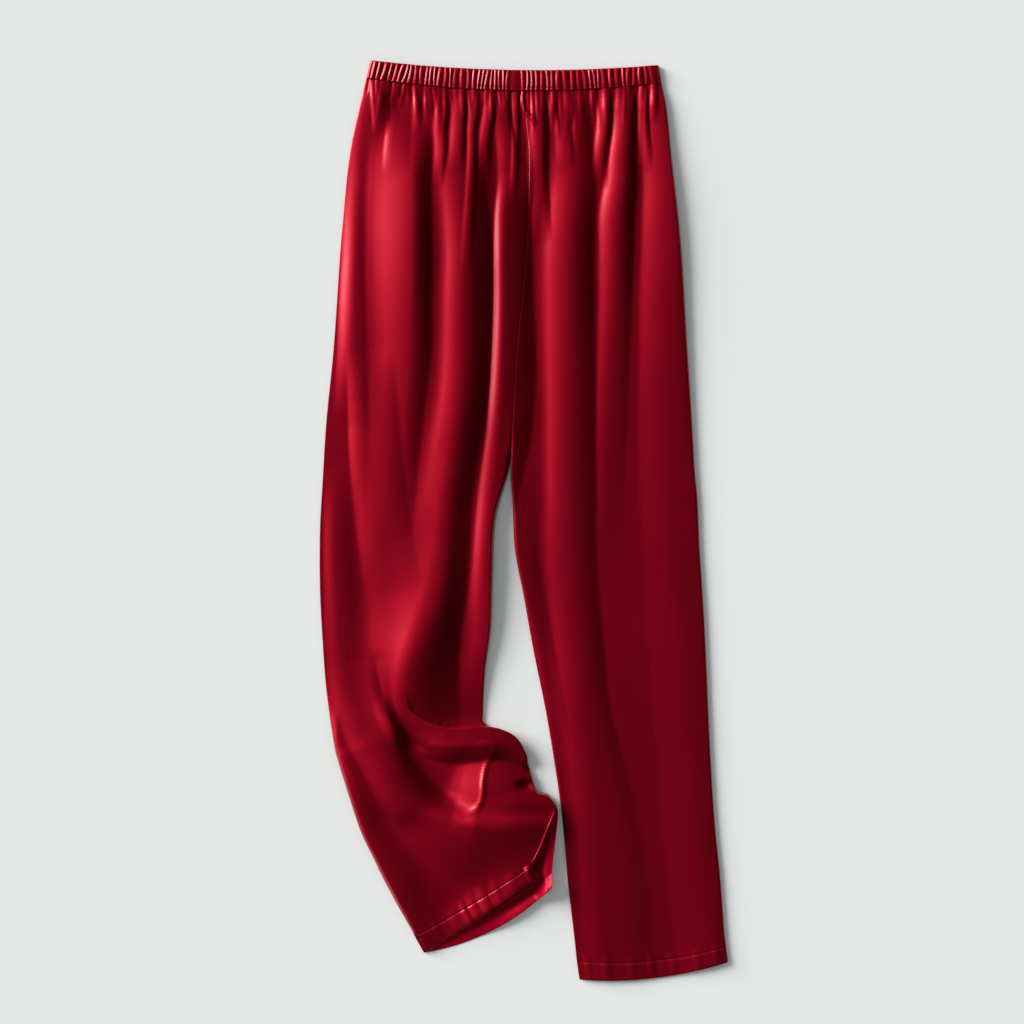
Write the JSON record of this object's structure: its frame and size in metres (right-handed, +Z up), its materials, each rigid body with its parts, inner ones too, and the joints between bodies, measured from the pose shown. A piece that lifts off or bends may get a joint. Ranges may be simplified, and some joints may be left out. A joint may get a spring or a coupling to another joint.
{
  "type": "satin pyjama trousers laid flat",
  "caption": "Long satin pyjama trousers with a gathered elastic waist, laid flat with the back up and one leg swept in and folded over itself.",
  "frame": {"origin": "on the surface the trousers lie on, under the middle of their bounding box", "axes": "+X across the trousers towards the wearer's right leg, +Y from the hems up to the waist, +Z up from the surface"},
  "size_m": [0.4434, 0.9992, 0.0227],
  "materials": {
    "crimson_satin": "satin weave with a soft sheen"
  },
  "bodies": {
    "root": {"waistband": "crimson_satin", "back_left": "crimson_satin", "back_right": "crimson_satin", "front_left": "crimson_satin", "front_right": "crimson_satin", "hem_left_back": "crimson_satin", "hem_left_front": "crimson_satin", "hem_right_back": "crimson_satin", "hem_right_front": "crimson_satin"}
  },
  "joints": []
}
